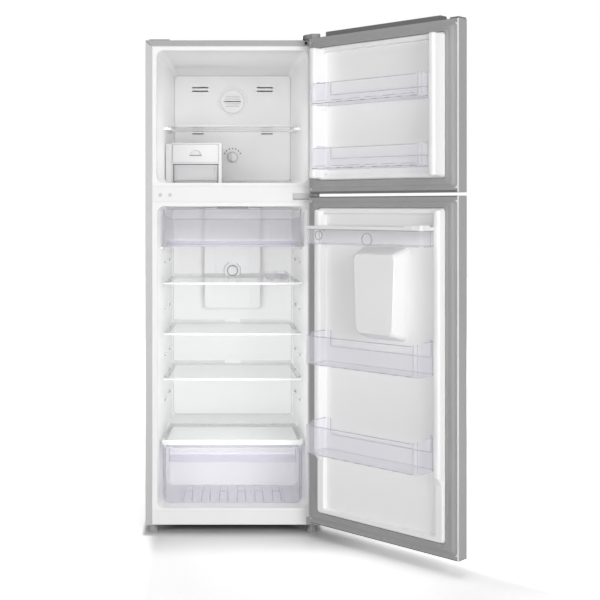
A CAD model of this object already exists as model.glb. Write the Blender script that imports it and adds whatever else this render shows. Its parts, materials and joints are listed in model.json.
# %% [markdown]
# # A top freezer refrigerator, dressed for its portrait
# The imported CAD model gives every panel, shelf, drawer and hinge its true size and place.
# This lesson adds what makes them look made: paint, moulded plastic, clear drawers, rubber,
# rounded edges, small fittings, and soft light from a plain studio. All sizes are metres.
#
# The panels could be drawn again in Blender, but then nothing would promise that they fit.
# So we load that model as a fixed frame, and note its outer box.

import json
import math

import bmesh
import bpy
from mathutils import Matrix, Vector


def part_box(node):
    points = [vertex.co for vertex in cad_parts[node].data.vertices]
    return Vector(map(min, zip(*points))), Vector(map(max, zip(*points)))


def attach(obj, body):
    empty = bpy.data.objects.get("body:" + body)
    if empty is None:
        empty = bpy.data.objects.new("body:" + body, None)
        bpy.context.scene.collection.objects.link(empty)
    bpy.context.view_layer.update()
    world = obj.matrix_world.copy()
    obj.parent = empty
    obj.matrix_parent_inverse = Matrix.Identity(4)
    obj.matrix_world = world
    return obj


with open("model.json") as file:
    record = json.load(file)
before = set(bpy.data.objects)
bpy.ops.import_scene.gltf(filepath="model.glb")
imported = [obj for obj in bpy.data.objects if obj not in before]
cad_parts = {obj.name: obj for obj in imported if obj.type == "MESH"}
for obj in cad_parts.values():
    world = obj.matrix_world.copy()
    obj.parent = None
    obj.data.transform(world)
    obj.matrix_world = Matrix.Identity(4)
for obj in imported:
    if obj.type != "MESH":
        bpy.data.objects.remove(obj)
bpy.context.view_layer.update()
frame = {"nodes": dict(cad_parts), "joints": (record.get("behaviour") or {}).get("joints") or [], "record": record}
nodes = frame["nodes"]


def new_object(name, data):
    made = bpy.data.objects.new(name, data)
    bpy.context.scene.collection.objects.link(made)
    return made


# %% [markdown]
# ## The camera
# The cabinet is seen square on from nearly four metres, a little above its middle. In a
# real studio the camera is kept level so the sides stay upright, and its lens is slid
# sideways and down to frame the open doors: that is what shift does. Tilting the camera
# would frame them too, but then the upright edges lean.

# %% Camera
camera_distance = 3.834
camera_height = 1.130
shell_low, shell_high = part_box("outer_shell")
middle_x = (shell_low.x + shell_high.x) / 2
front_y = shell_low.y

lens = bpy.data.cameras.new("portrait_lens")
lens.lens = 66.72
lens.sensor_width = 36
lens.shift_x = 0.1125
lens.shift_y = -0.155
lens.clip_end = 60
camera = new_object("portrait_camera", lens)
camera.location = (middle_x, front_y - camera_distance, camera_height)
camera.rotation_euler = (math.radians(90), 0, 0)
bpy.context.scene.camera = camera
print("camera at", [round(v, 3) for v in camera.location])

# %% [markdown]
# ## The open doors
# Both doors hang on one vertical line and stand open at 135 degrees. A piece for a door
# is easier to draw with the door shut, square to the cabinet, and then swung out. So we
# keep that swing as a matrix, and its inverse to measure CAD pieces as if the door were
# shut. Drawn at 135 degrees, every corner would need its own slanted sum.

# %% Door swing
doors_open = math.radians(135)
hinge = next(joint for joint in frame["joints"] if joint["name"] == "fridge_door_hinge")
hinge_post = Vector(hinge["pos_m"])
door_swing = (Matrix.Translation(hinge_post) @ Matrix.Rotation(doors_open, 4, "Z")
              @ Matrix.Translation(-hinge_post))
door_unswing = door_swing.inverted()


def shut_box(name):
    """A door piece's lowest and highest corners, as if its door were shut."""
    points = [door_unswing @ vertex.co for vertex in nodes[name].data.vertices]
    return (Vector([min(p[i] for p in points) for i in range(3)]),
            Vector([max(p[i] for p in points) for i in range(3)]))


print("hinge line at", [round(v, 3) for v in hinge_post])

# %% [markdown]
# ## Small helpers for shader nodes
# A material in Blender is a graph. One helper adds a node and fills its sockets, one
# builds a group with named inputs and outputs, and the rest wrap the nodes that come back
# most. The graphs could be wired by hand in the shader editor; in code, one line builds
# the same effect again with other values.

# %% Node helpers
def add_node(tree, kind, inputs=None, **settings):
    """Add a node, set its properties, and fill or link its inputs."""
    node = tree.nodes.new(kind)
    for key, value in settings.items():
        setattr(node, key, value)
    for key, value in (inputs or {}).items():
        if isinstance(value, bpy.types.NodeSocket):
            tree.links.new(value, node.inputs[key])
        else:
            node.inputs[key].default_value = value
    return node


def new_group(name, inputs, outputs):
    """A shader node group. An input's default tells its kind: a number, a vector of three or
    a colour of four. An output is a number, or a colour where it is named Colour."""
    tree = bpy.data.node_groups.new(name, "ShaderNodeTree")
    kinds = {3: "NodeSocketVector", 4: "NodeSocketColor"}
    for label, default in inputs.items():
        kind = "NodeSocketFloat" if isinstance(default, float) else kinds[len(default)]
        socket = tree.interface.new_socket(label, in_out="INPUT", socket_type=kind)
        socket.default_value = default
    for label in outputs:
        kind = "NodeSocketColor" if label == "Colour" else "NodeSocketFloat"
        tree.interface.new_socket(label, in_out="OUTPUT", socket_type=kind)
    return tree, tree.nodes.new("NodeGroupInput").outputs, tree.nodes.new("NodeGroupOutput").inputs


def coordinates(tree, kind):
    return add_node(tree, "ShaderNodeTexCoord").outputs[kind]


def noise(tree, place, scale, detail):
    return add_node(tree, "ShaderNodeTexNoise", {
        "Vector": place, "Scale": scale, "Detail": detail}).outputs["Fac"]


def remap(tree, value, start, end, low, high, **settings):
    """Carry a value over from start...end to low...high, held at both ends."""
    return add_node(tree, "ShaderNodeMapRange", {
        "Value": value, "From Min": start, "From Max": end, "To Min": low, "To Max": high},
        **settings).outputs[0]


def maths(tree, operation, first, second):
    return add_node(tree, "ShaderNodeMath", {0: first, 1: second}, operation=operation).outputs[0]


def vector_maths(tree, operation, *values, output="Vector"):
    return add_node(tree, "ShaderNodeVectorMath", dict(enumerate(values)),
                    operation=operation).outputs[output]


def split(tree, vector):
    return add_node(tree, "ShaderNodeSeparateXYZ", {0: vector}).outputs


def mix_colour(tree, share, first, second):
    return add_node(tree, "ShaderNodeMix", {0: share, 6: first, 7: second},
                    data_type="RGBA").outputs[2]


print("node helpers ready")

# %% [markdown]
# ## A moulded surface
# Injection moulded and vacuum formed plastic is never one flat colour. Its gloss drifts
# where the tool was hotter, and under a lens it carries a fine spark grain. Two noises do
# this: a large one for shade and gloss, a small one for the grain's height. A painted
# image could hold the same drift, but noise has no seams and needs no file.

# %% Group: moulded surface
def build_surface(name, inputs, paint):
    """A surface group; `paint` gives its colour, the drift of its gloss, and its height."""
    tree, given, made = new_group(name, {
        "Colour": (0.9, 0.9, 0.9, 1), **inputs, "Gloss Low": 0.3, "Gloss High": 0.4},
        ("Colour", "Roughness", "Height"))
    colour, drift, height = paint(tree, given, coordinates(tree, "Object"))
    gloss = remap(tree, drift, 0.3, 0.7, given["Gloss Low"], given["Gloss High"])
    for label, socket in (("Colour", colour), ("Roughness", gloss), ("Height", height)):
        tree.links.new(socket, made[label])
    print(name, "inputs:", [socket.name for socket in given if socket.name])
    return tree


def paint_moulded(tree, given, place):
    patch = noise(tree, place, given["Patch Scale"], 3.0)
    grain = noise(tree, place, given["Grain Scale"], 2.0)
    return mix_colour(tree, patch, given["Colour"], given["Shade"]), patch, grain


moulded_surface = build_surface("moulded_surface", {
    "Shade": (0.85, 0.85, 0.86, 1), "Patch Scale": 4.0, "Grain Scale": 900.0}, paint_moulded)

# %% [markdown]
# ## Flake paint and rolled sheet
# The doors and the cabinet are steel coated with silver paint: tiny flakes lie in the
# clear coat, each at its own brightness. Galvanised and rolled metal instead shows long
# faint streaks along the rolling direction. One group stretches its noise to serve both.
# Real flakes could be tiny tilted facets; at arm's length a fine noise of two tones reads
# the same and renders clean.

# %% Group: flake and streak
def paint_metal(tree, given, place):
    stretched = vector_maths(tree, "MULTIPLY", place, given["Stretch"])
    flake = noise(tree, stretched, given["Flake Scale"], 1.0)
    bright = remap(tree, flake, 0.45, 0.75, 0.0, 1.0)
    colour = mix_colour(tree, bright, given["Colour"], given["Glint"])
    return colour, noise(tree, place, 2.5, 2.0), flake


metal_surface = build_surface("metal_surface", {
    "Glint": (0.8, 0.8, 0.8, 1), "Stretch": (1.0, 1.0, 1.0), "Flake Scale": 1500.0}, paint_metal)

# %% [markdown]
# ## From group to material
# Each finish is one Principled shader. The group drives colour, roughness and, through a
# Bump node, the normal. Values that are the same all over, such as metallic or coat, are
# set straight on the shader's own sockets. A colour is a grey number or three numbers.
# The nodes could be wired anew for every finish; one maker keeps them alike, and only the
# values are left to choose.

# %% Material maker
def as_colour(value):
    return (*value, 1) if isinstance(value, tuple) else (value, value, value, 1)


def make_finish(name, group, values, bump, sockets):
    material = bpy.data.materials.new(name)
    material.use_nodes = True
    tree = material.node_tree
    shader = tree.nodes["Principled BSDF"]
    surface = add_node(tree, "ShaderNodeGroup", values, node_tree=group)
    tree.links.new(surface.outputs["Colour"], shader.inputs["Base Color"])
    tree.links.new(surface.outputs["Roughness"], shader.inputs["Roughness"])
    height = add_node(tree, "ShaderNodeBump", {
        "Strength": bump, "Distance": 0.0005, "Height": surface.outputs["Height"]})
    tree.links.new(height.outputs["Normal"], shader.inputs["Normal"])
    for key, value in sockets.items():
        shader.inputs[key.replace("_", " ")].default_value = value
    return material


def plastic(name, colour, shade, gloss, bump=0.05, patch=4.0, grain=900.0, **sockets):
    """`gloss` is the lowest and highest roughness, `patch` and `grain` are noise scales."""
    return make_finish(name, moulded_surface, {
        "Colour": as_colour(colour), "Shade": as_colour(shade), "Patch Scale": patch,
        "Grain Scale": grain, "Gloss Low": gloss[0], "Gloss High": gloss[1]}, bump, sockets)


def metal(name, colour, glint, flake, gloss, bump, stretch=(1.0, 1.0, 1.0), **sockets):
    """`flake` is the noise scale of flakes or streaks, `stretch` draws them out along Z."""
    return make_finish(name, metal_surface, {
        "Colour": as_colour(colour), "Glint": as_colour(glint), "Stretch": stretch,
        "Flake Scale": flake, "Gloss Low": gloss[0], "Gloss High": gloss[1]}, bump, sockets)


def silver_paint(name, colour, glint):
    return metal(name, colour, glint, 1800.0, (0.46, 0.54), 0.03, Metallic=0.2,
                 Specular_IOR_Level=0.35)


print("material maker ready")

# %% [markdown]
# ## Opaque finishes
# White liners are glossy polystyrene; trims are a satin white. Caps and the dispenser are
# grey, the seal is soft vinyl, the cabinet and doors wear silver flake paint, and what
# hides in the machine bay is galvanised sheet, black enamel, copper and bare aluminium.
# Each finish could be a cell of its own; in one table the neighbours are easy to compare,
# how dark, how glossy and how grained.

# %% Opaque materials
satin, matt = (0.36, 0.48), (0.45, 0.55)
finishes = {
    "painted_steel": silver_paint("silver_paint", 0.46, 0.56),
    "door_silver": silver_paint("door_silver", 0.35, 0.43),
    "flange_silver": silver_paint("flange_silver", 0.33, 0.40),
    "galvanised_steel": metal("zinc_sheet", 0.40, 0.46, 420.0, (0.40, 0.50), 0.04,
                              stretch=(1.0, 1.0, 0.3), Metallic=0.8),
    "aluminium_fins": metal("bare_aluminium", 0.62, 0.78, 400.0, (0.30, 0.40), 0.04,
                            stretch=(1.0, 1.0, 0.1), Metallic=1.0),
    "bright_edge": metal("bright_edge", 0.78, 0.90, 1500.0, (0.30, 0.40), 0.02, Metallic=0.3),
    "hinge_zinc": metal("hinge_zinc", 0.34, 0.46, 900.0, satin, 0.03, Metallic=0.4),
    "copper": metal("copper_pipe", (0.72, 0.36, 0.22), (0.85, 0.48, 0.32), 300.0,
                    (0.25, 0.40), 0.05, Metallic=1.0),
    "white_liner": plastic("liner_white", 0.92, 0.90, (0.30, 0.40), 0.02, patch=2.0,
                           Specular_IOR_Level=0.3),
    "white_moulding": plastic("trim_white", 0.88, 0.86, satin, Specular_IOR_Level=0.3),
    "ice_white": plastic("ice_maker_white", 0.60, 0.58, satin, Specular_IOR_Level=0.3),
    "grey_moulding": plastic("cap_grey", 0.15, 0.13, (0.42, 0.55), 0.1),
    "dark_moulding": plastic("housing_dark", 0.035, 0.028, (0.35, 0.50), 0.1),
    "black_steel": plastic("black_enamel", 0.012, 0.02, (0.25, 0.40), Coat_Weight=0.4),
    "door_seal": plastic("seal_vinyl", 0.36, 0.33, (0.50, 0.65), 0.08),
    "hinge_grey": plastic("hinge_grey", 0.30, 0.27, (0.40, 0.55), 0.08),
    "foot_plastic": plastic("foot_nylon", 0.42, 0.36, (0.50, 0.60), 0.1),
    "pale_grey": plastic("pale_grey", 0.64, 0.60, matt),
    "soft_grey": plastic("soft_grey", 0.50, 0.46, matt),
    "printed_grey": plastic("printed_grey", 0.20, 0.17, matt),
    "foam": plastic("foam_core", (0.72, 0.58, 0.28), (0.60, 0.47, 0.22), (0.85, 0.95), 0.6,
                    patch=9.0, grain=350.0),
}
print("opaque finishes:", sorted(finishes))

# %% [markdown]
# ## Clear plastic and glass
# Thin clear walls let most light through and bend it little, so a share of plain
# transparency looks truer than thick refraction, and it stays bright. At a grazing angle
# more of the wall is seen through its own thickness, so the facing ratio makes edges and
# corners denser. Each wall has two skins: the far one is thinned out, or every wall would
# count twice, and so are shadows. A shelf's frame is clear with a white trim in front.

# %% Clear materials
def build_clear_wall():
    tree, given, made = new_group("clear_wall", {
        "Colour": (1, 1, 1, 1), "Rim": (0.5, 0.5, 0.6, 1), "Facing": 0.0, "Far Skin": 0.0,
        "Shadow": 0.0, "Density": 0.1, "Edge Density": 0.6}, ("Colour", "Alpha"))
    facing = given["Facing"]
    thinned = maths(tree, "MAXIMUM", given["Far Skin"], given["Shadow"])
    density = remap(tree, facing, 0.0, 1.0, given["Density"], given["Edge Density"])
    alpha = maths(tree, "MULTIPLY", density, remap(tree, thinned, 0.0, 1.0, 1.0, 0.35))
    tree.links.new(mix_colour(tree, facing, given["Colour"], given["Rim"]), made["Colour"])
    tree.links.new(alpha, made["Alpha"])
    return tree


clear_wall = build_clear_wall()


def make_clear(name, colour, shade, rim, density, edge_density, roughness):
    """`rim` and `edge_density` hold where the wall is seen edge on."""
    material = plastic(name, colour, shade, (roughness, roughness + 0.08), 0.02,
                       Specular_IOR_Level=0.6)
    tree = material.node_tree
    shader = tree.nodes["Principled BSDF"]
    wall = add_node(tree, "ShaderNodeGroup", {
        "Colour": shader.inputs["Base Color"].links[0].from_socket, "Rim": as_colour(rim),
        "Facing": add_node(tree, "ShaderNodeLayerWeight", {"Blend": 0.3}).outputs["Facing"],
        "Far Skin": add_node(tree, "ShaderNodeNewGeometry").outputs["Backfacing"],
        "Shadow": add_node(tree, "ShaderNodeLightPath").outputs["Is Shadow Ray"],
        "Density": density, "Edge Density": edge_density}, node_tree=clear_wall)
    tree.links.new(wall.outputs["Colour"], shader.inputs["Base Color"])
    tree.links.new(wall.outputs["Alpha"], shader.inputs["Alpha"])
    return material


violet_rim = (0.50, 0.485, 0.60)
clear_looks = {
    "clear_plastic": ((0.92, 0.905, 0.975), (0.89, 0.875, 0.945), violet_rim, 0.11, 0.66, 0.10),
    "crisper_clear": ((0.80, 0.79, 0.86), (0.77, 0.76, 0.83), violet_rim, 0.17, 0.66, 0.10),
    "pale_clear": ((0.94, 0.935, 0.96), (0.91, 0.905, 0.93), (0.66, 0.65, 0.72), 0.10, 0.60, 0.10),
    "tank_clear": ((1.0, 0.985, 1.0), (0.98, 0.965, 0.99), (0.80, 0.785, 0.88), 0.12, 0.50, 0.10),
    "ice_bin_clear": ((0.86, 0.86, 0.87), (0.83, 0.83, 0.84), (0.50, 0.50, 0.52), 0.40, 0.90, 0.12),
    "edge_violet": ((0.38, 0.365, 0.45), (0.35, 0.335, 0.42), (0.34, 0.33, 0.42), 0.50, 0.68, 0.12),
    "step_violet": ((0.38, 0.365, 0.47), (0.35, 0.335, 0.44), violet_rim, 0.30, 0.55, 0.12),
    "rib_line": ((0.36, 0.35, 0.41), (0.33, 0.32, 0.38), (0.34, 0.33, 0.39), 0.80, 0.88, 0.12),
    "bright_clear": ((0.80, 0.795, 0.815), (0.78, 0.775, 0.795), (0.76, 0.75, 0.79), 0.30, 0.50,
                     0.10),
    "shelf_glass": ((0.82, 0.87, 0.85), (0.80, 0.85, 0.83), (0.52, 0.60, 0.57), 0.05, 0.32, 0.03),
    "lamp_lens": ((0.30, 0.31, 0.32), (0.26, 0.27, 0.28), (0.24, 0.25, 0.26), 0.75, 0.95, 0.15),
}
finishes.update({name: make_clear(name, *look) for name, look in clear_looks.items()})


def build_front_trim():
    """Solid along a piece's front upper edge, clear behind it and under it."""
    tree, given, made = new_group("front_trim", {
        "Place": (0, 0, 0), "Trim": 0.05, "Foot": 0.0, "Clearness": 0.2}, ("Alpha",))
    share = split(tree, given["Place"])
    trim_end = maths(tree, "ADD", given["Trim"], 0.01)
    foot_end = maths(tree, "ADD", given["Foot"], 0.10)
    white = maths(tree, "MULTIPLY", remap(tree, share["Y"], given["Trim"], trim_end, 1.0, 0.0),
                  remap(tree, share["Z"], given["Foot"], foot_end, 0.0, 1.0))
    tree.links.new(remap(tree, white, 0.0, 1.0, given["Clearness"], 1.0), made["Alpha"])
    return tree


front_trim = build_front_trim()
for name, trim, foot, clearness in (("shelf", 0.045, 0.02, 0.18), ("cover", 0.080, -0.20, 0.28)):
    material = plastic(name + "_trim_white", 0.72, 0.69, satin, Specular_IOR_Level=0.3)
    tree = material.node_tree
    edge = add_node(tree, "ShaderNodeGroup", {
        "Place": coordinates(tree, "Generated"), "Trim": trim, "Foot": foot,
        "Clearness": clearness}, node_tree=front_trim)
    tree.links.new(edge.outputs["Alpha"], tree.nodes["Principled BSDF"].inputs["Alpha"])
    finishes[name + "_white"] = material
print("clear finishes ready")

# %% [markdown]
# ## Dress the CAD pieces
# Every piece from CAD keeps its shape. We hand it the finish of its slot, then soften its
# edges: sheet metal and mouldings never end in a knife edge. A small bevel catches light
# along each edge, and weighted normals keep the flat faces flat. Thin clear walls hold
# back so little light that they are let cast no shadow, which keeps the drawers bright
# inside. The rounding could be modelled by hand; as a modifier it follows every edge and
# leaves the mesh as it came.

# %% Assign finishes and soften edges
slot_of = {part["node"]: part["material_slot"] for part in frame["record"]["subparts"]}
edge_round = {"painted_steel": 0.0003, "galvanised_steel": 0.0003, "foam": 0, "door_seal": 0,
              "shelf_glass": 0.0005}
usual_edge_round = 0.0006
least_crease = math.radians(33)
clear_slots = {"clear_plastic", "shelf_glass", "lamp_lens"}
own_finish = {"ice_box_frame": "ice_white", "ice_tray": "ice_white", "ice_bin": "ice_bin_clear",
              "egg_tray": "pale_clear", "freezer_shelf": "pale_clear", "water_tank": "tank_clear",
              "crisper_drawer": "crisper_clear", "crisper_cover_frame": "cover_white",
              "freezer_door_skin": "door_silver", "fridge_door_skin": "door_silver",
              "top_hinge_cover": "hinge_grey", "middle_hinge": "hinge_zinc",
              "bottom_hinge": "hinge_zinc"}
own_finish.update({f"shelf_frame_{k}": "shelf_white" for k in (1, 2, 3)})


def soften(piece, width):
    """Round a piece's edges; its own mesh stays as it is, under modifiers."""
    piece.data.shade_smooth()
    piece.modifiers.new("weld", "WELD").merge_threshold = 1e-5
    if width > 0:
        bevel = piece.modifiers.new("edge_round", "BEVEL")
        bevel.width = width
        bevel.segments = 2
        bevel.limit_method = "ANGLE"
        bevel.angle_limit = least_crease
    piece.modifiers.new("flat_faces", "WEIGHTED_NORMAL").keep_sharp = True


for name, node in nodes.items():
    slot = slot_of[name]
    node.data.materials.clear()
    node.data.materials.append(finishes[own_finish.get(name, slot)])
    node.visible_shadow = slot not in clear_slots
    soften(node, edge_round.get(slot, usual_edge_round))
print("dressed", len(nodes), "pieces")

# %% [markdown]
# ## Tools for small fittings
# Screws, rings and strips are made in mesh code: a ring or a disc is a profile turned
# about an axis, a strip is an outline pushed along a line. Each is a closed body.
# Blender's ready-made cylinders and cubes would do, but they need moving, scaling and
# joining; here each size comes straight from the piece that the fitting sits on.

# %% Fitting tools
def add_skin(builder, loops, around=False):
    """Join loops of vertices, one after the other, into a closed body."""
    for a, b in zip(loops, loops[1:] + loops[:1] if around else loops[1:]):
        for k in range(len(a)):
            m = (k + 1) % len(a)
            builder.faces.new((a[k], b[k], b[m], a[m]))
    if not around:
        builder.faces.new(loops[0])
        builder.faces.new(list(reversed(loops[-1])))


def add_prism(builder, outline, push):
    """Close an outline of points into a solid, pushed along a vector."""
    add_skin(builder, [[builder.verts.new(Vector(p) + shift) for p in outline]
                       for shift in (Vector((0, 0, 0)), Vector(push))])


def add_box(builder, low, high):
    (x0, y0, z0), (x1, y1, z1) = low, high
    add_prism(builder, [(x0, y0, z0), (x1, y0, z0), (x1, y1, z0), (x0, y1, z0)], (0, 0, z1 - z0))


def add_bar(builder, start, end, half):
    """A thin square bar between two points."""
    start, end = Vector(start), Vector(end)
    along = (end - start).normalized()
    side = along.orthogonal().normalized() * half
    other = along.cross(side).normalized() * half
    add_prism(builder, [start + side + other, start - side + other, start - side - other,
                        start + side - other], end - start)


def spoke(side, other, turn):
    return side * math.cos(turn) + other * math.sin(turn)


def add_turned(builder, profile, at, axis, steps=32, start=0.0, sweep=360.0):
    """Turn a closed outline of (radius, height) about a level axis, from straight up."""
    at, axis, up = Vector(at), Vector(axis), Vector((0, 0, 1))
    whole = sweep >= 360
    loops = []
    for k in range(steps if whole else steps + 1):
        out = spoke(up, axis.cross(up), math.radians(start + sweep * k / steps))
        loops.append([builder.verts.new(at + out * r + axis * h) for r, h in profile])
    add_skin(builder, loops, around=whole)


def add_ring(builder, at, axis, inner, outer, low, high, **turn):
    profile = [(inner, low), (outer, low), (outer, high), (inner, high)]
    add_turned(builder, profile, at, axis, **turn)


fitted = []
on_shell, on_trim = ("cabinet", "painted_steel"), ("cabinet", "white_moulding")
on_liner, in_bay = ("cabinet", "white_liner"), ("cabinet", "galvanised_steel")
in_crisper = ("crisper_box", "clear_plastic")


def fit_piece(name, builder, finish, place, swing=False, edge=0.0):
    """Make a named piece at a place: the body it rides on and the slot it stands for. A
    piece drawn on a shut door gets `swing`."""
    body, slot = place
    bmesh.ops.remove_doubles(builder, verts=builder.verts, dist=1e-6)
    bmesh.ops.recalc_face_normals(builder, faces=builder.faces)
    if swing:
        builder.transform(door_swing)
    mesh = bpy.data.meshes.new(name)
    builder.to_mesh(mesh)
    builder.free()
    piece = new_object(name, mesh)
    mesh.materials.append(finishes[finish])
    if edge:
        soften(piece, edge)
    piece.visible_shadow = slot not in clear_slots
    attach(piece, body)
    fitted.append(piece)


def fit_shape(name, finish, place, add, *shape, swing=False, edge=0.0, **how):
    """A piece of one shape, drawn by one of the add_ tools."""
    builder = bmesh.new()
    add(builder, *shape, **how)
    fit_piece(name, builder, finish, place, swing, edge)


print("fitting tools ready")

# %% [markdown]
# ## Edges of the clear drawers and bins
# Clear plastic is palest where you look straight through a wall and deepest along its
# edges, where light runs the long way through. So each long sharp edge of a clear piece
# gets a fine violet bead just inside the wall. The edges are found on the CAD mesh: two
# faces that meet at a clear corner, with no short ones. A glass shader could gather that
# depth by itself, after many bounces of light; a bead gives it at once.

# %% Clear edges
bead_half = 0.0007
shortest_edge = 0.028


def flat_faces(name):
    """A CAD piece's mesh with its triangles merged into flat faces."""
    source = bmesh.new()
    source.from_mesh(nodes[name].data)
    bmesh.ops.remove_doubles(source, verts=source.verts, dist=1e-5)
    bmesh.ops.dissolve_limit(source, angle_limit=math.radians(1), verts=source.verts,
                             edges=source.edges)
    return source


def add_edge_beads(builder, name):
    source = flat_faces(name)
    count = 0
    for edge in source.edges:
        if len(edge.link_faces) != 2 or edge.calc_length() < shortest_edge:
            continue
        if not edge.is_convex or edge.calc_face_angle() < math.radians(40):
            continue
        outward = (edge.link_faces[0].normal + edge.link_faces[1].normal).normalized()
        inward = -outward * bead_half * 1.6
        add_bar(builder, edge.verts[0].co + inward, edge.verts[1].co + inward, bead_half)
        count += 1
    source.free()
    return count


door_bins = {"freezer_bin_upper": "freezer_upper_bin", "freezer_bin_lower": "freezer_lower_bin",
             "fridge_bin_middle": "fridge_middle_bin", "fridge_bin_lower": "fridge_lower_bin"}
clear_riders = {"chill_drawer": "chill_box", "crisper_drawer": "crisper_box", **door_bins,
                "water_tank": "tank", "freezer_shelf": "freezer_rack", "ice_bin": "ice_bin_drawer"}
for name, body in clear_riders.items():
    builder = bmesh.new()
    count = add_edge_beads(builder, name)
    fit_piece(name + "_edges", builder, "edge_violet", (body, "clear_plastic"))
    print(name, "edge beads:", count)

# %% [markdown]
# ## Door edges
# The inner face of each door is one flat grey frame: the gasket's flange runs on over the
# end caps. At the free edge the painted skin folds over and leaves a thin bright line.
# The strips are half a millimetre thick, drawn on the shut door and swung out with it. A
# small grey cap stands on the freezer door's free corner. A colour mask on the door could
# tint the same places; real strips also catch light along their edges.

# %% Door strips
def inner_strip(name, door, finish, slot, x0, x1, z0, z1):
    """A thin strip on the inner face of a door."""
    face = shut_box(door + "_skin")[1].y
    fit_shape(name, finish, (door, slot), add_box, (x0, face + 0.0001, z0),
              (x1, face + 0.0006, z1), swing=True)


side_fold = 0.0055
end_gaps = {"freezer_door": (0.0005, 0.0075), "fridge_door": (0.0035, 0.0030)}  # top, foot
for door, (top_gap, foot_gap) in end_gaps.items():
    low, high = shut_box(door + "_skin")
    seal_low, seal_high = shut_box(door + "_seal")
    for end, z0, z1 in (("_top_strip", seal_high.z - 0.0005, high.z - top_gap),
                        ("_bottom_strip", low.z + foot_gap, seal_low.z + 0.0005)):
        inner_strip(door.replace("_door", end), door, "door_seal", "door_seal",
                    low.x + side_fold, high.x - side_fold, z0, z1)
low, high = shut_box("freezer_door_skin")
fit_shape("freezer_corner_cap", "grey_moulding", ("freezer_door", "grey_moulding"), add_box,
          (low.x + 0.0020, low.y + 0.0024, high.z + 0.0002),
          (low.x + 0.034, high.y - 0.0024, high.z + 0.0050), swing=True, edge=0.0010)
for door in end_gaps:
    low, high = shut_box(door + "_skin")
    inner_strip(door.replace("_door", "_fold_line"), door, "bright_edge", "painted_steel",
                low.x + 0.0002, low.x + 0.0052, low.z + 0.001, high.z - 0.001)
print("door strips:", [piece.name for piece in fitted[-7:]])

# %% [markdown]
# ## Front of the cabinet
# The folded front edge of the roof is a panel of its own, a shade darker, cut on a mitre
# at its end. Two plugs close the spare screw holes of the divider, a pad sits under the
# top hinge, and the middle hinge has a dark lower lip. Each could be cut into the sheet,
# but the CAD mesh stays as it is, so they are thin pieces laid on it and measured from
# it.

# %% Cabinet front fittings
roof_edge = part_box("freezer_liner")[1].z + 0.0025
fold = shell_high.z - roof_edge
left, right, top = shell_low.x, shell_high.x, shell_high.z
fit_shape("roof_front_edge", "flange_silver", on_shell, add_prism,
          [(left + 0.001, front_y, top - 0.0008), (left + fold, front_y, roof_edge),
           (right - fold, front_y, roof_edge), (right - 0.001, front_y, top - 0.0008)],
          (0, -0.00025, 0))
fit_shape("roof_mitre", "printed_grey", on_shell, add_bar,
          (left + 0.002, front_y - 0.0001, top - 0.003),
          (left + fold + 0.001, front_y - 0.0001, roof_edge - 0.001), 0.0009)

divider_low, divider_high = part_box("divider_trim")
plug_z = (divider_low.z + divider_high.z) / 2 - 0.003
plug_profile = [(0.0001, 0), (0.0062, 0), (0.0056, 0.0011), (0.0040, 0.0016), (0.0001, 0.0018)]
for name, x in (("divider_plug_left", 0.0272), ("divider_plug_right", 0.0612)):
    fit_shape(name, "pale_grey", on_trim, add_turned, plug_profile,
              (x, divider_low.y + 0.0001, plug_z), (0, -1, 0), edge=0.0002)

hinge_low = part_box("middle_hinge")[0]
fit_shape("middle_hinge_lip", "printed_grey", in_bay, add_box,
          (hinge_low.x + 0.001, front_y - 0.0038, hinge_low.z + 0.0005),
          (hinge_post.x - 0.024, front_y - 0.0031, hinge_low.z + 0.0035))
cover_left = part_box("top_hinge_cover")[0].x
fit_shape("hinge_cover_foot", "black_steel", ("cabinet", "grey_moulding"), add_box,
          (cover_left - 0.004, front_y - 0.030, top + 0.0002),
          (cover_left + 0.0045, front_y - 0.004, top + 0.008), edge=0.0006)
fit_shape("roof_screw_hole", "printed_grey", on_shell, add_turned,
          [(0.0001, 0), (0.0050, 0), (0.0050, 0.00025), (0.0001, 0.00025)],
          (cover_left + 0.010, front_y, top - 0.0105), (0, -1, 0), steps=20)
print("pieces fitted so far:", len(fitted))

# %% [markdown]
# ## Freezer back: gasket and louvres
# The moulded cover in front of the cooling coil is sealed to the side walls by a soft
# gasket, so no dark gap shows. In its fan grille only the middle slot is open: blades
# close the two above and the two below. The vents at its sides have shaded slots. A
# flange joins the ice maker to the wall beside it, and its tray's grip has a dark lip.
# They could be picked out by colour alone; a blade with some depth keeps its shadow when
# you look in from the side.

# %% Freezer back fittings
cover_low, cover_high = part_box("freezer_back_cover")
cover_face = cover_low.y + 0.002
ring_front, ring_back = cover_face - 0.0006, cover_face + 0.0010
builder = bmesh.new()
loops = []
for grow, y in ((0.0028, ring_front), (0.0002, ring_front),
                (0.0002, ring_back), (0.0028, ring_back)):
    x0, z0, x1, z1 = (cover_low.x - grow, cover_low.z - grow,
                      cover_high.x + grow, cover_high.z + grow)
    loops.append([builder.verts.new((x, y, z))
                  for x, z in ((x0, z0), (x1, z0), (x1, z1), (x0, z1))])
add_skin(builder, loops, around=True)
fit_piece("cover_gasket", builder, "pale_grey", on_trim)

rotor_low, rotor_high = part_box("fan_blade")
fan_z = (rotor_low.z + rotor_high.z) / 2
grille_radius, slot_pitch = 0.032, 0.009
builder = bmesh.new()
for step in (-2, -1, 1, 2):
    z = fan_z + slot_pitch * step
    reach = math.sqrt(grille_radius ** 2 - (z - fan_z) ** 2) - 0.0002
    add_box(builder, (middle_x - reach, cover_face - 0.0014, z - 0.0015),
            (middle_x + reach, cover_face - 0.0004, z + 0.0015))
fit_piece("fan_grille_blades", builder, "pale_grey", on_trim)

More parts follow.
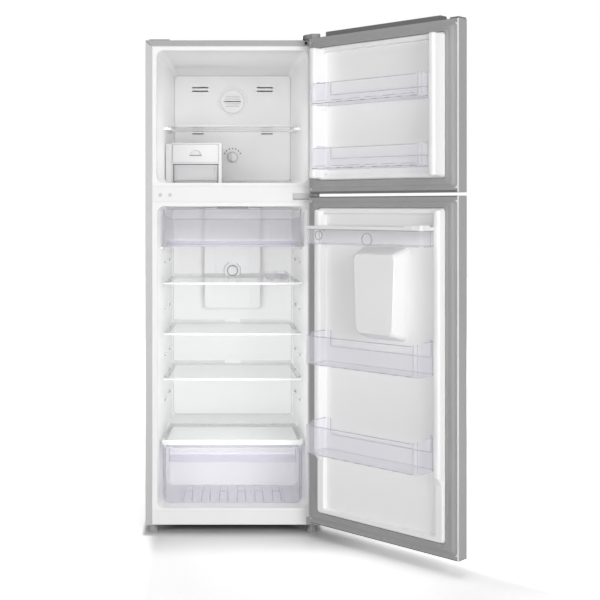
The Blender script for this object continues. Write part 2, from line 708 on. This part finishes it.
ice_low, ice_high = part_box("ice_box_frame")
shelf_low, shelf_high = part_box("freezer_shelf")
liner_wall = shelf_low.x - 0.0105
fit_shape("ice_box_flange", "ice_white", on_trim, add_box,
          (liner_wall, ice_low.y + 0.0012, ice_low.z + 0.0006),
          (ice_low.x - 0.0004, ice_low.y + 0.0022, ice_high.z - 0.0030))

bin_low, bin_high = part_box("ice_bin")
y = bin_low.y - 0.0004
foot, top = bin_low.z + 0.008, bin_high.z - 0.006
builder = bmesh.new()
for inset in (0.0060, 0.0135):
    left, right = bin_low.x + inset, bin_high.x - inset
    for a, b in (((left, y, foot), (left, y, top)), ((right, y, foot), (right, y, top)),
                 ((left, y, foot), (right, y, foot))):
        add_bar(builder, a, b, 0.0005)
fit_piece("ice_bin_lines", builder, "soft_grey", ("ice_bin_drawer", "white_moulding"))

tray_low, tray_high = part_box("ice_tray")
tray_middle = (tray_low.x + tray_high.x) / 2
grip_half, grip_foot, grip_top = 0.022, 1.3165, 1.3200
fit_shape("ice_tray_grip_line", "printed_grey", ("ice_tray_drawer", "white_moulding"), add_box,
          (tray_middle - grip_half, tray_low.y - 0.0004, grip_foot),
          (tray_middle + grip_half, tray_low.y, grip_top))

vent_offset, vent_half, vent_height = 0.1345, 0.0215, 0.0046
for name, finish, z in (("vent_shade_low", "printed_grey", shelf_low.z - 0.0072),
                        ("vent_shade_high", "soft_grey", shelf_high.z + 0.0040)):
    builder = bmesh.new()
    for x in (middle_x - vent_offset, middle_x + vent_offset):
        add_box(builder, (x - vent_half, cover_face - 0.0006, z),
                (x + vent_half, cover_face - 0.0002, z + vent_height))
    fit_piece(name, builder, finish, on_trim)
print("freezer back fittings ready")

# %% [markdown]
# ## Marks round the two dials
# A control dial is read against marks. The freezer's dial has a row of dashes over its
# top, the fridge's dial has a fine arc and a row of dashes. Each is printed, so it is
# built as a film less than a third of a millimetre thick on the panel. A ring outlines
# each knob. An image on the panel could carry the marks; a film stays sharp close up.

# %% Dial marks
print_thick = 0.0003


def dial_centre(dial):
    low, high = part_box(dial)
    return Vector(((low.x + high.x) / 2, high.y, (low.z + high.z) / 2))


def dial_marks(name, dial, panel_y, radius, width, dash, count, start, stop):
    """Dashes of `dash` degrees, spread between two angles from straight up."""
    centre = dial_centre(dial)
    centre.y = panel_y
    builder = bmesh.new()
    for k in range(count):
        middle = start + (stop - start) * (k + 0.5) / count
        add_ring(builder, centre, (0, -1, 0), radius, radius + width, 0.0, print_thick,
                 steps=3, start=middle - dash / 2, sweep=dash)
    fit_piece(name, builder, "printed_grey", on_trim)


duct_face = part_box("duct_cover")[0].y + 0.004
dial_marks("freezer_dial_dashes", "freezer_dial", cover_face, 0.0315, 0.0052, 8.0, 7, -75, 75)
dial_marks("fridge_dial_dashes", "fridge_dial", duct_face, 0.0325, 0.0022, 11.0, 8, 20, 160)
dial_marks("fridge_dial_arc", "fridge_dial", duct_face, 0.0325, 0.0014, 132.0, 1, -160, -25)
for name, outer, finish in (("freezer", 0.0205, "soft_grey"), ("fridge", 0.0208, "printed_grey")):
    fit_shape(name + "_knob_ring", finish, on_trim, add_ring,
              dial_centre(name + "_dial"), (0, -1, 0), 0.0188, outer, 0.0042, 0.0062, steps=48)
print("dial marks ready")

# %% [markdown]
# ## Rest pads on the shelf supports
# The shelves rest on small supports moulded in the side walls. Each support's front has a
# soft grey pad that stops a shelf from rattling. We find the supports on the CAD liner:
# small faces that look forward, close to the side walls. Setting each pad by hand would
# work too, but a search misses none and still holds when the liner is changed.

# %% Support pads
smallest_front, largest_front = 4e-5, 4e-4
source = flat_faces("fridge_liner")
builder = bmesh.new()
count = 0
for face in source.faces:
    middle = face.calc_center_median()
    forward = face.normal.y < -0.95 and middle.y > front_y + 0.03
    by_wall = abs(middle.x - middle_x) > 0.20
    if forward and by_wall and smallest_front < face.calc_area() < largest_front:
        outline = [vertex.co.copy() for vertex in face.verts]
        middle = sum(outline, Vector()) / len(outline)
        add_prism(builder, [middle + (point - middle) * 0.8 for point in outline], (0, -0.0004, 0))
        count += 1
source.free()
fit_piece("support_pads", builder, "soft_grey", on_liner)
print("supports found:", count)

# %% [markdown]
# ## Line round the fridge's back wall
# The liner's flat back wall ends in a fine step where it turns into the rounded corners
# and into the ledge over the compressor. Light dies in that step, so it reads as a soft
# grey line with rounded lower corners. The step could be a groove in the liner, whose
# mesh stays as it is; a thin strip, laid on the wall by casting a ray at each point,
# reads the same.

# %% Back wall line
def add_strip(builder, path, half, thick):
    """A flat strip along a path of (x, y, z, sideways x, sideways z) on a wall facing front."""
    add_skin(builder, [[builder.verts.new((x + nx * reach, y - rise, z + nz * reach))
                        for reach, rise in ((-half, 0), (half, 0), (half, thick), (-half, thick))]
                       for x, y, z, nx, nz in path])


def wall_spot(x, z, side_x, side_z):
    """A point of the path, laid on the liner's back wall."""
    spot = nodes["fridge_liner"].ray_cast(Vector((x, 0.3, z)), Vector((0, 1, 0)))[1]
    return (x, spot.y - 0.0001, z, side_x, side_z)


wall_half, wall_foot, wall_top, bend, bend_steps = 0.2335, 0.3125, 1.085, 0.014, 6
path = [wall_spot(middle_x - wall_half, wall_top, -1, 0)]
for side, turns in ((-1, range(bend_steps + 1)), (1, range(bend_steps, -1, -1))):
    for k in turns:
        turn = math.radians(90 * k / bend_steps)
        path.append(wall_spot(middle_x + side * (wall_half - bend * (1 - math.cos(turn))),
                              wall_foot + bend * (1 - math.sin(turn)),
                              side * math.cos(turn), -math.sin(turn)))
path.append(wall_spot(middle_x + wall_half, wall_top, 1, 0))
fit_shape("back_wall_line", "pale_grey", on_liner, add_strip, path, 0.0012, 0.0004)
print("back wall line has", len(path), "points")

# %% [markdown]
# ## Chill drawer and its rails
# The shallow drawer under the ceiling runs on two rails, whose ends wear soft clips.
# Along the foot of its front is a stiffening step: a violet band under a deeper fold,
# with a pale line on top. Each is a thin bar of clear plastic, set just inside the front
# wall. Colour on the wall could show them, but bars inside it have depth when seen
# through the plastic.

# %% Chill drawer details
chill_low, chill_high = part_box("chill_drawer")
for name, start, stop in (("rail_clip_left", chill_low.x - 0.002, chill_low.x + 0.024),
                          ("rail_clip_right", chill_high.x - 0.024, chill_high.x + 0.002)):
    fit_shape(name, "soft_grey", on_liner, add_box,
              (start, chill_low.y + 0.0138, chill_low.z - 0.0092),
              (stop, chill_low.y + 0.0146, chill_low.z - 0.0004))

band_inset, band_y = 0.013, chill_low.y + 0.0040
for name, finish, foot, top, depth in (("step", "step_violet", 0.004, 0.0190, 0.0006),
                                       ("fold", "edge_violet", 0.0190, 0.0215, 0.0010),
                                       ("line", "bright_clear", 0.0220, 0.0238, 0.0010)):
    fit_shape("chill_drawer_" + name, finish, ("chill_box", "clear_plastic"), add_box,
              (chill_low.x + band_inset, band_y, chill_low.z + foot),
              (chill_high.x - band_inset, band_y + depth, chill_low.z + top))
print("chill drawer details ready")

# %% [markdown]
# ## Crisper floor and front
# Ribs on the crisper's floor keep food off the wet bottom. Their outlines show through
# the front as fine lines, so each rib gets a line along both its sides and round its end.
# Two bands across the front are the finger grip, moulded a little thicker, and lines mark
# the folds at the front's two sides. They could be drawn in the shader; as thin bars they
# also shift behind the wall as you move past, the way real ribs do.

# %% Crisper details
crisper_low, crisper_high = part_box("crisper_drawer")
front_slope = 0.022 / (crisper_high.z - crisper_low.z)


def crisper_front(z, behind):
    """Where the sloping front wall stands at a height."""
    return crisper_low.y + front_slope * (z - crisper_low.z) + behind


rib_count, rib_pitch, rib_half = 6, 0.063, 0.0013
rib_top = crisper_low.z + 0.0062
front, back = crisper_low.y + 0.016, crisper_low.y + 0.150
builder = bmesh.new()
for k in range(rib_count):
    x = middle_x + (k - (rib_count - 1) / 2) * rib_pitch
    outline = [(x - 0.0155, front), (x - 0.0135, back), (x - 0.008, back + 0.006),
               (x + 0.008, back + 0.006), (x + 0.0135, back), (x + 0.0155, front)]
    for a, b in zip(outline, outline[1:]):
        add_bar(builder, (*a, rib_top), (*b, rib_top), rib_half)
fit_piece("crisper_rib_lines", builder, "rib_line", in_crisper)

for name, finish, foot, top, inset in (
        ("crisper_grip_bright", "bright_clear", 0.2610, 0.2665, 0.030),
        ("crisper_grip_band", "step_violet", 0.2340, 0.2600, 0.024)):
    y0, y1, thick = crisper_front(foot, 0.0030), crisper_front(top, 0.0030), 0.0006
    left, right = crisper_low.x + inset, crisper_high.x - inset
    fit_shape(name, finish, in_crisper, add_prism,
              [(left, y0, foot), (left, y1, top), (left, y1 + thick, top),
               (left, y0 + thick, foot)], (right - left, 0, 0))

line_top = 0.282
builder = bmesh.new()
for side, wall_x in ((1, crisper_low.x), (-1, crisper_high.x)):
    for inset, foot in ((0.0045, 0.175), (0.0105, 0.110), (0.0240, 0.234)):
        x = wall_x + side * inset
        add_bar(builder, (x, crisper_front(foot, 0.0045), foot),
                (x, crisper_front(line_top, 0.0045), line_top), 0.0012)
fit_piece("crisper_side_lines", builder, "rib_line", in_crisper)
print("crisper details ready")

# %% [markdown]
# ## Door bins
# A door bin is moulded with a row of short pads under its front edge, which catch the
# light as pale dashes on a dark line. Its free end wall is seen edge on, so it reads as
# two dark lines. Bars inside the clear wall give both. Modelling the pads and folds into
# the bins would change the CAD mesh, which stays as it is.

# %% Door bin details
pad_count, pad_margin = 8, 0.03
for name, body in door_bins.items():
    low, high = shut_box(name)
    front = high.y - 0.0012
    pitch = (high.x - low.x - 2 * pad_margin) / pad_count
    builder = bmesh.new()
    for k in range(pad_count):
        start = low.x + pad_margin + pitch * (k + 0.2)
        add_box(builder, (start, high.y - 0.0002, low.z + 0.0018),
                (start + pitch * 0.6, high.y + 0.0002, low.z + 0.0036))
    fit_piece(name + "_pads", builder, "pale_grey", (body, "clear_plastic"), swing=True)
    builder = bmesh.new()
    add_bar(builder, (low.x + 0.014, front, low.z + 0.0026),
            (high.x - 0.014, front, low.z + 0.0026), 0.0009)
    for inset, setback in ((0.0024, 0.0098), (0.0125, 0.0018)):
        corner = (low.x + inset, high.y - setback)
        add_bar(builder, (*corner, low.z + 0.006), (*corner, high.z - 0.004), 0.0008)
    fit_piece(name + "_lines", builder, "rib_line", (body, "clear_plastic"), swing=True)
print("door bin details ready")

# %% [markdown]
# ## Water tank and lid
# Water is poured in through a filler under the lid's raised end and runs to a valve above
# the dispenser. Both show through the clear tank as rings: a filler strainer at the hinge
# side, a round valve housing by the dispenser. The whole fittings could be modelled;
# through cloudy plastic only their round rims show, so a turned ring is enough.

# %% Water tank details
tank_low, tank_high = shut_box("water_tank")
dispenser_low, dispenser_high = shut_box("dispenser_housing")
valve_x = (dispenser_low.x + dispenser_high.x) / 2
middle_z = (tank_low.z + tank_high.z) / 2
for name, x, z, radius in (("tank_valve_ring", valve_x, middle_z - 0.004, 0.0205),
                           ("tank_strainer_ring", tank_high.x - 0.062, middle_z + 0.006, 0.0155)):
    fit_shape(name, "edge_violet", ("tank", "clear_plastic"), add_ring,
              (x, tank_high.y - 0.0065, z), (0, 1, 0), radius - 0.0022, radius, 0.0, 0.0030,
              steps=28, swing=True)
print("tank rings ready")

# %% [markdown]
# ## Back panel and machine bay
# Hex-headed screws hold the back panel. In the bay under it a copper pipe leaves the
# compressor and runs through a filter along the bay's floor, and a shallow plastic tray
# on the compressor catches defrost water, which the warm shell dries off. The pipe could
# be a curve with a round bevel; built from loops it is a closed body, like every other
# piece, and a profile turned in six steps makes a hex head.

# %% Back and machine bay
panel_low, panel_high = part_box("back_panel")
bay_low, bay_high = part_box("compressor")
columns = (panel_low.x + 0.016, middle_x, panel_high.x - 0.016)
rows = [bay_high.z + 0.05 + k * (panel_high.z - 0.06 - bay_high.z) / 4 for k in range(5)]
head_profile = [(0.0001, 0), (0.0058, 0), (0.0058, 0.0003), (0.0034, 0.0004),
                (0.0034, 0.0010), (0.0001, 0.0011)]
builder = bmesh.new()
for x in columns:
    for z in rows:
        if x != middle_x or z in (rows[0], rows[-1]):
            add_turned(builder, head_profile, (x, panel_high.y, z), (0, 1, 0), steps=6)
fit_piece("back_panel_screws", builder, "hinge_zinc", in_bay)


def rounded(points, bend, steps=5):
    """A path through the points with its corners rounded off."""
    path = [Vector(points[0])]
    for before, corner, after in zip(points, points[1:], points[2:]):
        corner = Vector(corner)
        into = (corner - Vector(before)).normalized()
        out = (Vector(after) - corner).normalized()
        for k in range(steps + 1):
            t = k / steps
            start, end = corner - into * bend * (1 - t), corner + out * bend * t
            path.append(start.lerp(end, t))
    return path + [Vector(points[-1])]


def add_pipe(builder, path, radius, steps=12):
    """A round pipe; its cross-section is carried along the path without a twist."""
    loops = []
    side = Vector((0, 0, 1))
    for k, here in enumerate(path):
        along = (path[min(k + 1, len(path) - 1)] - path[max(k - 1, 0)]).normalized()
        side = side - along * side.dot(along)
        side = (along.orthogonal() if side.length < 1e-4 else side).normalized()
        spokes = [spoke(side, along.cross(side), math.tau * j / steps) for j in range(steps)]
        loops.append([builder.verts.new(here + radius * out) for out in spokes])
    add_skin(builder, loops)


bay_middle = (bay_low + bay_high) / 2
port_z, floor_z = bay_low.z + 0.075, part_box("base_plate")[1].z + 0.012
pipe_left, pipe_right = panel_low.x + 0.050, bay_low.x - 0.030
pipe_front, pipe_back, port_y = bay_low.y + 0.02, bay_high.y - 0.012 - 0.02, bay_middle.y + 0.02
fit_shape("discharge_pipe", "copper", in_bay, add_pipe, rounded([
    (bay_low.x + 0.062, port_y, port_z), (pipe_right, port_y, port_z),
    (pipe_right, pipe_back, port_z), (pipe_right, pipe_back, floor_z),
    (pipe_left, pipe_back, floor_z), (pipe_left, pipe_front, floor_z),
    (pipe_left, pipe_front, bay_high.z - 0.03)], 0.018), 0.0032)
fit_shape("filter_drier", "copper", in_bay, add_turned,
          [(0.0031, 0), (0.0060, 0.006), (0.0100, 0.014), (0.0100, 0.084), (0.0060, 0.092),
           (0.0031, 0.098)], (panel_low.x + 0.075, pipe_back, floor_z), (1, 0, 0), steps=24)

tray_foot, tray_steps = bay_low.z + 0.173, 24
squareness = 5  # 2 would give an ellipse, a large number sharp corners
tray_walls = [(0.000, -0.008), (0.026, 0.0), (0.0265, 0.004), (0.0285, 0.004), (0.0285, -0.002),
              (0.0025, -0.0100)]  # how high and how far out: up the outside, down the inside
builder = bmesh.new()
loops = [[] for wall in tray_walls]
for k in range(tray_steps):
    turn = math.tau * (k + 0.5) / tray_steps
    x, y = math.cos(turn), math.sin(turn)
    out = (abs(x) ** squareness + abs(y) ** squareness) ** (-1 / squareness)
    for loop, (rise, grow) in zip(loops, tray_walls):
        loop.append(builder.verts.new((bay_middle.x + 0.025 + (0.085 + grow) * x * out,
                                       bay_middle.y + (0.058 + grow) * y * out,
                                       tray_foot + rise)))
add_skin(builder, loops)
fit_piece("drip_tray", builder, "grey_moulding", ("cabinet", "dark_moulding"), edge=0.0004)
print("back and bay ready")

# %% [markdown]
# ## The studio
# A pale floor runs back into a white background. To the camera and to mirrors it is a
# white sweep that takes the lamps' light almost twice over, so it is plain white in the
# open and still shows where the cabinet and the doors keep light away. Beside the cabinet
# and behind the doors a little glow wipes out the long shadows a studio would flag off.
# The sweep could be a curved sheet of paper; a flat floor that grows whiter away from the
# cabinet has no bend to hide from any side.

# %% Floor and background
def seen_ray(tree):
    """1 for a ray from the camera, a mirror or through glass; 0 for light that bounces."""
    path = add_node(tree, "ShaderNodeLightPath").outputs
    either = maths(tree, "MAXIMUM", path["Is Camera Ray"], path["Is Glossy Ray"])
    return maths(tree, "MAXIMUM", either, path["Is Transmission Ray"])


def ramp(tree, value, start, end, low, high):
    return remap(tree, value, start, end, low, high, interpolation_type="SMOOTHSTEP")


def footprint_distance(tree, place):
    """Distance from the cabinet's outline on the floor: positive outside, negative under it."""
    middle = (shell_low + shell_high) / 2
    half = (shell_high - shell_low) / 2
    from_middle = vector_maths(tree, "SUBTRACT", place, (middle.x, middle.y, 0))
    one_side = vector_maths(tree, "ABSOLUTE", from_middle)
    beyond = vector_maths(tree, "SUBTRACT", one_side, (half.x, half.y, 1))
    outside = vector_maths(tree, "MAXIMUM", beyond, (0, 0, 0))
    reach = vector_maths(tree, "LENGTH", outside, output="Value")
    parts = split(tree, beyond)
    depth = maths(tree, "MINIMUM", maths(tree, "MAXIMUM", parts[0], parts[1]), 0.0)
    return maths(tree, "ADD", reach, depth)


def behind_and_beside(tree, place):
    """1 on the floor left of the cabinet and behind the open doors, 0 in front of them."""
    parts = split(tree, place)
    left = ramp(tree, parts[0], shell_low.x + 0.05, shell_low.x - 0.02, 0.0, 1.0)
    diagonal = maths(tree, "ADD", parts[0], parts[1])
    door_line = hinge_post.x + hinge_post.y
    return maths(tree, "MAXIMUM", left,
                 ramp(tree, diagonal, door_line + 0.07, door_line + 0.2, 0.0, 1.0))


def dress_floor(tree):
    shader = tree.nodes["Principled BSDF"]
    place = coordinates(tree, "Object")
    tone = remap(tree, noise(tree, place, 0.6, 2.0), 0.0, 1.0, 0.80, 0.84)
    tree.links.new(tone, shader.inputs["Base Color"])
    shader.inputs["Roughness"].default_value = 0.9
    reach = footprint_distance(tree, place)
    close, wide = (add_node(tree, "ShaderNodeBsdfDiffuse", {"Color": tone}) for tone in (
        ramp(tree, reach, -0.12, 0.0, 0.22, 0.95), ramp(tree, reach, 0.0, 0.28, 0.0, 0.68)))
    outside = ramp(tree, reach, 0.0, 0.02, 0.0, 0.62)
    aside = maths(tree, "MULTIPLY", behind_and_beside(tree, place), outside)
    glow = maths(tree, "MAXIMUM", aside, ramp(tree, reach, 0.7, 1.8, 0.0, 1.0))
    lift = add_node(tree, "ShaderNodeEmission", {"Strength": glow})
    both = add_node(tree, "ShaderNodeAddShader", {0: close.outputs[0], 1: wide.outputs[0]})
    lifted = add_node(tree, "ShaderNodeAddShader", {0: both.outputs[0], 1: lift.outputs[0]})
    seen = add_node(tree, "ShaderNodeMixShader", {
        0: seen_ray(tree), 1: shader.outputs[0], 2: lifted.outputs[0]})
    tree.links.new(seen.outputs[0], tree.nodes["Material Output"].inputs["Surface"])


def build_floor(half):
    mesh = bpy.data.meshes.new("studio_floor")
    builder = bmesh.new()
    builder.faces.new([builder.verts.new((middle_x + x * half, y * half, 0))
                       for x, y in ((-1, -1), (1, -1), (1, 1), (-1, 1))])
    builder.to_mesh(mesh)
    builder.free()
    floor = new_object("studio_floor", mesh)
    material = bpy.data.materials.new("studio_floor")
    material.use_nodes = True
    dress_floor(material.node_tree)
    mesh.materials.append(material)


build_floor(half=14.0)
print("floor set")

# %% [markdown]
# ## The studio's walls
# The world is the studio's white walls. To the camera it is plain white; to the object it
# is a soft grey dome, so that lamps do the modelling of form. Real walls would do the
# same, but they would block the view from behind.

# %% World
def build_world(dome):
    world = bpy.data.worlds.new("studio_walls")
    bpy.context.scene.world = world
    world.use_nodes = True
    tree = world.node_tree
    tree.nodes.clear()
    light = add_node(tree, "ShaderNodeBackground", {
        "Color": (1, 1, 1, 1), "Strength": remap(tree, seen_ray(tree), 0.0, 1.0, dome, 1.0)})
    output = add_node(tree, "ShaderNodeOutputWorld")
    tree.links.new(light.outputs[0], output.inputs["Surface"])


build_world(dome=0.08)
print("world set")

# %% [markdown]
# ## The lamps
# In a studio, a white interior is lit from both sides of the camera, so that each side
# wall is washed by the lamp across from it. A weak lamp inside each compartment does what
# the real lamp does when the door opens. One lamp overhead grounds the cabinet on the
# floor, and one behind keeps the back panel readable from other sides. Small lamps would
# be simpler to place, but they throw hard shadows of every shelf; wide ones keep the
# edges soft.

# %% Lamps
def soft_lamp(name, at, towards, size, watts, hidden=False):
    light = bpy.data.lights.new(name, "AREA")
    light.shape = "RECTANGLE"
    light.size, light.size_y = size
    light.energy = watts
    lamp = new_object(name, light)
    lamp.location = at
    lamp.rotation_euler = (Vector(towards) - Vector(at)).to_track_quat("-Z", "Y").to_euler()
    lamp.visible_glossy = not hidden
    lamp.visible_transmission = not hidden


def compartment_lamp(name, liner, share, rise, watts):
    """A soft lamp in the mouth of a compartment, shining to its back; rise 0.5 is halfway up."""
    low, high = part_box(liner)
    at = Vector((middle_x, front_y, low.z + rise * (high.z - low.z)))
    width, height = 0.42, share * (high.z - low.z)
    soft_lamp(name, at, at + Vector((0, 1, 0)), (width, height), watts, hidden=True)


aim = Vector((middle_x, front_y, 0.9))
for name, away, size, watts in (("right_softbox", (2.6, -4.2, 0.8), (2.4, 2.4), 95),
                                ("left_softbox", (-2.6, -4.2, 0.8), (2.4, 2.4), 58),
                                ("front_fill", (0, -4.8, 0.6), (3.4, 2.6), 36),
                                ("overhead", (0.3, -1.4, 3.2), (3.0, 2.4), 26),
                                ("back_fill", (-0.6, 5.4, 0.8), (3.0, 2.2), 110)):
    soft_lamp(name, aim + Vector(away), aim, size, watts)
compartment_lamp("fridge_lamp_light", "fridge_liner", 0.85, 0.52, 1.28)
compartment_lamp("freezer_lamp_light", "freezer_liner", 0.50, 0.34, 0.38)
bpy.context.scene.view_settings.view_transform = "Standard"
